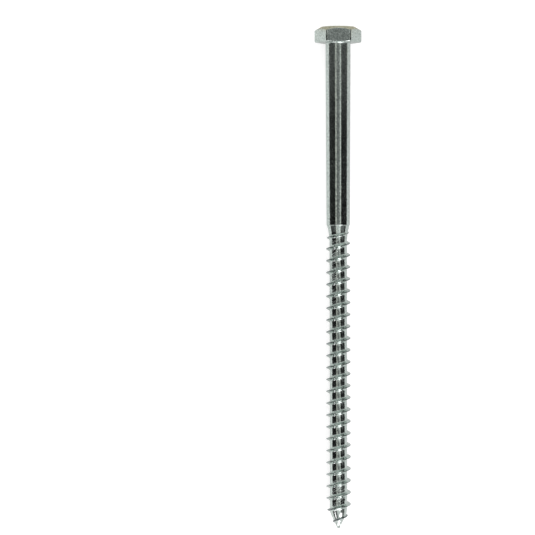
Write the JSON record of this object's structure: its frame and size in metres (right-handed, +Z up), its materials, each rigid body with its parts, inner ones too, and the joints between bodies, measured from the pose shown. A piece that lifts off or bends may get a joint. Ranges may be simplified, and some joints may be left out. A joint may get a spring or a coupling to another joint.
{
  "type": "coach screw",
  "caption": "Hexagon head wood screw with a plain shank, a coarse right hand thread and a gimlet point, lying on its side.",
  "frame": {"origin": "middle of the screw's outline seen from above, on the surface it rests on", "axes": "+Y towards the head, the tip is at the -Y end, +Z up, +X to the right seen from above with the head away from the viewer"},
  "size_m": [0.0146, 0.155, 0.0129],
  "materials": {
    "zinc_plated_steel": "bright zinc plating, smooth, with fine specks and rolling marks"
  },
  "bodies": {
    "root": {"coach_screw": "zinc_plated_steel"}
  },
  "joints": []
}
